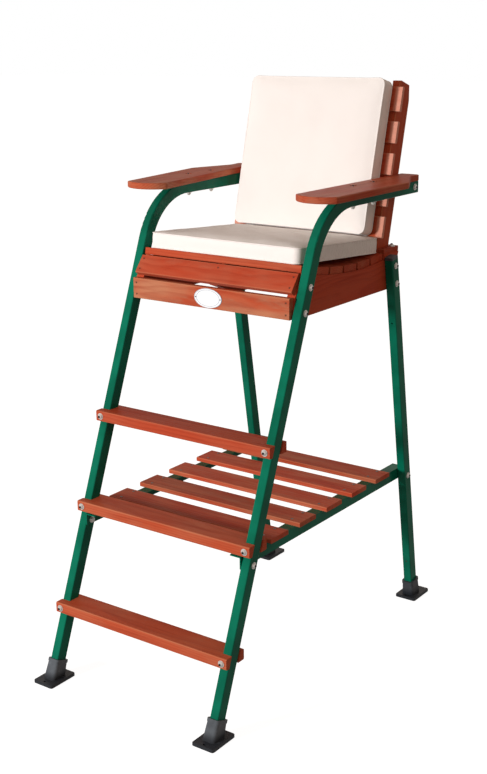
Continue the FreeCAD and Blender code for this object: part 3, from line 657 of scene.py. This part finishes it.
# Bolts, nuts and coach screws: bright zinc plate with flanged, domed heads, each with a small socket in
# the middle of its dome, coloured dark as painted shade in the recess.
zinc_bright = (0.80, 0.79, 0.76)
zinc_metal = 0.55
socket_painted_shade = (0.07, 0.07, 0.075)
socket_radius = 0.0036
socket_height = 0.0016
shank_end = 0.004
weld_decimals = 6


def separate_solids(mesh):
    """The points of each solid in a mesh of loose triangles, found by joining what their edges join."""
    edges = np.zeros(len(mesh.edges) * 2, np.int32)
    mesh.edges.foreach_get("vertices", edges)
    points, welded = np.unique(points_of(mesh).round(weld_decimals), axis=0, return_inverse=True)
    first, second = welded.reshape(-1)[edges.reshape(-1, 2)].T
    solid = np.arange(len(points))
    before = np.zeros_like(solid)
    while (solid != before).any():
        before = solid.copy()
        lowest = np.minimum(solid[first], solid[second])
        np.minimum.at(solid, first, lowest)
        np.minimum.at(solid, second, lowest)
    return [points[solid == label] for label in np.unique(solid)]


def bolt_tops(name):
    """The top of each domed head in a group of bolts, and the way that it faces."""
    tops = []
    for bolt in separate_solids(nodes[name].data):
        middle = (bolt.max(axis=0) + bolt.min(axis=0)) / 2
        axis = np.linalg.svd(bolt - bolt.mean(axis=0))[2][0]
        along = (bolt - middle) @ axis
        around = np.linalg.norm(bolt - middle - np.outer(along, axis), axis=1)
        if around[along < along.min() + shank_end].max() > around[along > along.max() - shank_end].max():
            axis, along = -axis, -along
        tops.append((Vector(middle + axis * along.max()), Vector(axis)))
    return tops


coach_screws = ["back_bar_screws", "rear_board_screws"]
dress([name for name in nodes if name.endswith(("_bolts", "_nuts")) or name in coach_screws],
      plated_steel("zinc_plate", zinc_bright, roughness=0.25, metal=zinc_metal))
bolts = ["armrest_bolts"] + coach_screws + ["seat_box_bolts", "shelf_rail_bolts", "tread_bolts"]
bolt_sockets = copies("bolt_sockets", small_head(socket_radius, socket_height),
                      [top for name in bolts for top in bolt_tops(name)], "chair")
# The sockets' dark colour is painted shade.
bolt_sockets.data.materials.append(plated_steel("painted_shade_socket", socket_painted_shade, roughness=0.45))


# Cushions: foam slabs in a cream cover with a boxed border, piped along both of its edges. They lie
# loose on the slats, and the cover swells between its seams and puckers along them.
seat_tilt = math.radians(4.0)
fabric_cream = (0.89, 0.838, 0.805, 1.0)
fabric_slub_and_crease_shade = (0.82, 0.765, 0.728, 1.0)
fabric_roughness = 0.86
fabric_dulled = 0.08
fabric_shine = 0.15
fabric_sheen = 0.08
fabric_sheen_roughness = 0.6
fabric_depth = 0.0006
weave_pitch = 0.0013
weave_relief = 0.12
crease_size = 7.0
crease_relief = 1.6
crease_edge = (0.3, 0.8)
crease_painted_shade = 0.3
slub_size = 240.0
slub_relief = 0.4
slub_shade = 0.12
rib_pitch = 0.0155
rib_relief = 2.6
rib_lean = 90.0
rib_sway_size = 26.0
rib_sway = 9.0
rib_least = 0.35
rib_ends = (0.045, 0.004)
seam_in = 0.007
seam_angle = math.radians(50.0)
slab_square = 0.0065
slab_inset = 0.003
slab_corner = 0.022
slab_crown = 0.007
crown_at_edge = 0.15
crown_flatness = 4
border_bow = 0.006
bow_flatness = 3
swell_frames = 20
swell_pressure = 4.0
swell_most = 0.005
no_length = 1e-9
settle_from = 0.014
settle_times = 40
gather_start = -0.08
gather_run = 0.2
gather_side = 0.2
fold_pitch = 0.0085
fold_drift = 0.05
fold_fade_from = 0.004
fold_fade_run = 0.022
border_zone = 0.006
border_fold = 0.0022
border_draw = 0.0006
face_fold = 0.0016
dent_size = 0.07
dent_drift = 9
dent_lift = 0.0022
pipe_radius = 0.0023
pipe_step = 0.008
pipe_proud = 0.0002
pipe_corner_steps = 4


def woven_cover(name, axes, spans, ribbed):
    """A plain-woven cover with faint creases painted darker as painted shade, and ribs along its ends where
    the border is drawn up.
    """
    shader, place = new_shader(name)
    a, b, c = (shader.along(place, axis, (low + high) / 2) for axis, (low, high) in zip(axes, spans))
    half_a, half_b, _ = ((high - low) / 2 for low, high in spans)
    far_a, far_b = (shader.maths("ABSOLUTE", part) for part in (a, b))
    threads = [shader.maths("SINE", part * (2 * math.pi / weave_pitch)) for part in (a, b, c)]
    border = shader.maths("MAXIMUM", shader.step(far_a, half_a - seam_in, half_a - seam_in / 2),
                          shader.step(far_b, half_b - seam_in, half_b - seam_in / 2))
    weave = threads[0] * threads[1] * (1 - border) + threads[2] * (threads[0] + threads[1]) * border
    crease = shader.grain(place, crease_size, detail=3.0, rough=0.55)
    slub = shader.grain(place, slub_size)
    height = weave * weave_relief + crease * crease_relief + slub * slub_relief
    if ribbed:
        sway = shader.grain(place, rib_sway_size)
        ribs = shader.maths("SINE", b * (2 * math.pi / rib_pitch) + a * rib_lean + sway * rib_sway)
        near_end = shader.step(far_a, half_a - rib_ends[0], half_a - rib_ends[1])
        toward_rear = shader.step(b, ribbed[0] - half_b, ribbed[1] - half_b)
        height = height + (
            ribs * (rib_least + (1 - rib_least) * sway) * near_end * toward_rear * rib_relief)
    # Darker on the creases, as painted shade, and on the slubs, which are the yarn's own tone.
    slub_tone_and_crease_shade = shader.step(crease, *crease_edge) * crease_painted_shade + slub * slub_shade
    return shader.surface(
        height=height, depth=fabric_depth,
        Base_Color=shader.blend(slub_tone_and_crease_shade, fabric_cream, fabric_slub_and_crease_shade),
        Roughness=fabric_roughness + fabric_dulled * slub, Specular_IOR_Level=fabric_shine,
        Sheen_Weight=fabric_sheen, Sheen_Roughness=fabric_sheen_roughness)


def rounded(a, b, half_a, half_b):
    """Where a point of a square slab comes when its corners are rounded."""
    over_a = abs(a) - (half_a - slab_corner)
    over_b = abs(b) - (half_b - slab_corner)
    if over_a > 0 and over_b > 0:
        share = max(over_a, over_b) / math.hypot(over_a, over_b)
        a = math.copysign(half_a - slab_corner + over_a * share, a)
        b = math.copysign(half_b - slab_corner + over_b * share, b)
    return a, b


def select_all_in_edit(block):
    bpy.context.view_layer.objects.active = block
    bpy.ops.object.mode_set(mode="EDIT")
    bpy.ops.mesh.select_all(action="SELECT")


def cushion_slab(name, half_a, half_b, half_c):
    """A closed slab lying on its back at the origin, cut into small squares, crowned, its corners round."""
    select_only()
    bpy.ops.mesh.primitive_cube_add(size=2.0, scale=(half_a, half_b, half_c))
    slab = bpy.context.object
    slab.name = name
    bpy.ops.object.transform_apply(location=False, rotation=False, scale=True)
    for length, normal in ((half_a, X_AXIS), (half_b, Y_AXIS), (half_c, Z_AXIS)):
        cuts = round(2 * length / slab_square)
        select_all_in_edit(slab)
        for cut in range(1, cuts):
            bpy.ops.mesh.select_all(action="SELECT")
            bpy.ops.mesh.bisect(plane_co=normal * (-length + 2 * length * cut / cuts), plane_no=normal)
        bpy.ops.object.mode_set(mode="OBJECT")
    for vertex in slab.data.vertices:
        a, b, c = vertex.co
        a, b = rounded(a, b, half_a, half_b)
        crown = (1 - (a / half_a) ** crown_flatness) * (1 - (b / half_b) ** crown_flatness)
        crown = slab_crown * (crown_at_edge + (1 - crown_at_edge) * max(0.0, crown)) if c > 0 else 0.0
        bow = 1 - border_bow * abs(c / half_c) ** bow_flatness
        vertex.co = Vector((a * bow, b * bow, c - slab_crown / 2 + crown * c / half_c))
    select_all_in_edit(slab)
    bpy.ops.mesh.select_all(action="DESELECT")
    bpy.ops.mesh.edges_select_sharp(sharpness=seam_angle)
    bpy.ops.transform.edge_crease(value=1.0)
    bpy.ops.object.mode_set(mode="OBJECT")
    return slab


def applied(piece, modifier):
    """Makes a modifier's result the piece's own mesh."""
    select_only(piece)
    bpy.ops.object.modifier_apply(modifier=modifier.name)


def inflate(slab):
    """Lets a slab's cover swell a little under the pressure of its foam, and keeps the result."""
    rest = points_of(slab.data)
    cloth = slab.modifiers.new("cover", "CLOTH")
    cloth.settings.quality = 5
    cloth.settings.use_pressure = True
    cloth.settings.uniform_pressure_force = swell_pressure
    cloth.settings.effector_weights.gravity = 0.0
    cloth.point_cache.frame_start = 1
    cloth.point_cache.frame_end = swell_frames
    for frame_number in range(1, swell_frames + 1):
        bpy.context.scene.frame_set(frame_number)
    swollen = points_of(slab.evaluated_get(bpy.context.evaluated_depsgraph_get()).data)
    slab.modifiers.remove(cloth)
    bpy.context.scene.frame_set(1)
    way = swollen - rest
    length = np.maximum(np.linalg.norm(way, axis=1, keepdims=True), no_length)
    rest += way / length * np.minimum(length, swell_most)
    slab.data.vertices.foreach_set("co", rest.ravel())
    slab.data.update()
    from_edge = np.abs(rest[:, :2]).max(axis=0) - np.abs(rest[:, :2])
    inner = slab.vertex_groups.new(name="inner")
    inner.add(np.flatnonzero(from_edge.min(axis=1) > settle_from).tolist(), 1.0, "REPLACE")
    settled = slab.modifiers.new("settled", "SMOOTH")
    settled.factor = 0.5
    settled.iterations = settle_times
    settled.vertex_group = "inner"
    applied(slab, settled)
    slab.vertex_groups.clear()


def gathering(a, b, least, more):
    """How far the cover is gathered: most at the rear half of the two short sides."""
    return least + more * max(0.0, min(1.0, (b - gather_start) / gather_run)) * (abs(a) > gather_side)


def pucker(slab, half_a, half_b, gathers, drift):
    """Draws the cover in along its seams: fine folds across the border and short ones on its faces."""
    for vertex in slab.data.vertices:
        a, b, c = vertex.co
        inside_a = half_a - abs(a)
        inside_b = half_b - abs(b)
        inside = min(inside_a, inside_b)
        run, outward = (b, X_AXIS * math.copysign(1, a)) if inside_a < inside_b else (
            a, Y_AXIS * math.copysign(1, b))
        strength = gathering(a, b, *gathers)
        fade = math.exp(-max(0.0, inside - fold_fade_from) / fold_fade_run)
        fold = noise.noise(Vector((run / fold_pitch, drift, c / fold_drift)))
        dent = noise.noise(Vector((a / dent_size, b / dent_size, drift + c * dent_drift)))
        if inside < border_zone:
            vertex.co += outward * (fold * border_fold * strength - border_draw * strength)
        else:
            vertex.co.z += math.copysign(1, c) * fold * face_fold * fade * strength
        if c > 0:
            vertex.co.z += dent * dent_lift * (1 - fade)


def piping(name, cover, half_a, half_b, level):
    """A cord sewn into the seam, as a closed curve laid on the cover, made a mesh."""
    corners = []
    for side_a, side_b, start in ((1, -1, -90), (1, 1, 0), (-1, 1, 90), (-1, -1, 180)):
        for turn in range(pipe_corner_steps + 1):
            angle = math.radians(start + turn * 90 / pipe_corner_steps)
            corners.append(Vector((side_a * (half_a - slab_corner) + slab_corner * math.cos(angle),
                                   side_b * (half_b - slab_corner) + slab_corner * math.sin(angle),
                                   level)))
    points = []
    for start, end in zip(corners, corners[1:] + corners[:1]):
        steps = max(1, round((end - start).length / pipe_step))
        for step in range(steps):
            spot = start.lerp(end, step / steps)
            points.append(cover.find_nearest(spot)[0] + spot.normalized() * pipe_proud)
    curve = bpy.data.curves.new(name, "CURVE")
    curve.dimensions = "3D"
    curve.bevel_depth = pipe_radius
    curve.bevel_resolution = 2
    line = curve.splines.new("NURBS")
    line.points.add(len(points) - 1)
    for control, point in zip(line.points, points):
        control.co = (*point, 1.0)
    line.use_cyclic_u = True
    line.order_u = 3
    line.resolution_u = 2
    pipe = bpy.data.objects.new(name, curve)
    bpy.context.scene.collection.objects.link(pipe)
    select_only(pipe)
    bpy.ops.object.convert(target="MESH")
    return bpy.context.object


def cushion(node, across, up, gathers, drift, ribbed=None):
    """A whole cushion in its CAD solid's space, with its piping."""
    axes = (across, up, across.cross(up))
    spans = [reach(node, axis) for axis in axes]
    middle = sum((axis * (low + high) / 2 for axis, (low, high) in zip(axes, spans)), Vector())
    half_a, half_b, half_c = ((high - low) / 2 for low, high in spans)
    slab_a, slab_b, slab_c = half_a - slab_inset, half_b - slab_inset, half_c - slab_inset - slab_crown / 2
    slab = cushion_slab(node + "_cover", slab_a, slab_b, slab_c)
    inflate(slab)
    pucker(slab, half_a, half_b, gathers, drift)
    finer = slab.modifiers.new("finer", "SUBSURF")
    finer.levels = 1
    finer.render_levels = 1
    applied(slab, finer)
    bpy.ops.object.shade_smooth_by_angle(angle=seam_angle)
    cover = BVHTree.FromPolygons([vertex.co for vertex in slab.data.vertices],
                                 [list(face.vertices) for face in slab.data.polygons])
    levels = {"front": slab_c - slab_crown / 2 + slab_crown * crown_at_edge,
              "rear": -slab_c - slab_crown / 2}
    pipes = [piping(node + "_piping_" + side, cover, slab_a, slab_b, level)
             for side, level in levels.items()]
    placed = Matrix.Translation(middle) @ Matrix(axes).transposed().to_4x4()
    fabric = woven_cover(node + "_fabric", axes, spans, ribbed)
    for piece in [slab] + pipes:
        piece.data.transform(placed)
        piece.data.materials.clear()
        piece.data.materials.append(fabric)
        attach(piece, node)
    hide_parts(node)


seat_up = Vector((0, math.cos(seat_tilt), -math.sin(seat_tilt)))
cushion("seat_cushion", X_AXIS, seat_up, gathers=(0.35, 0.9), drift=3.7, ribbed=(0.10, 0.22))
cushion("back_cushion", X_AXIS, back_up, gathers=(0.30, 0.0), drift=8.1)


# The whole chair stays as large as its solids, but for the covers' own fullness.
low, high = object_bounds()
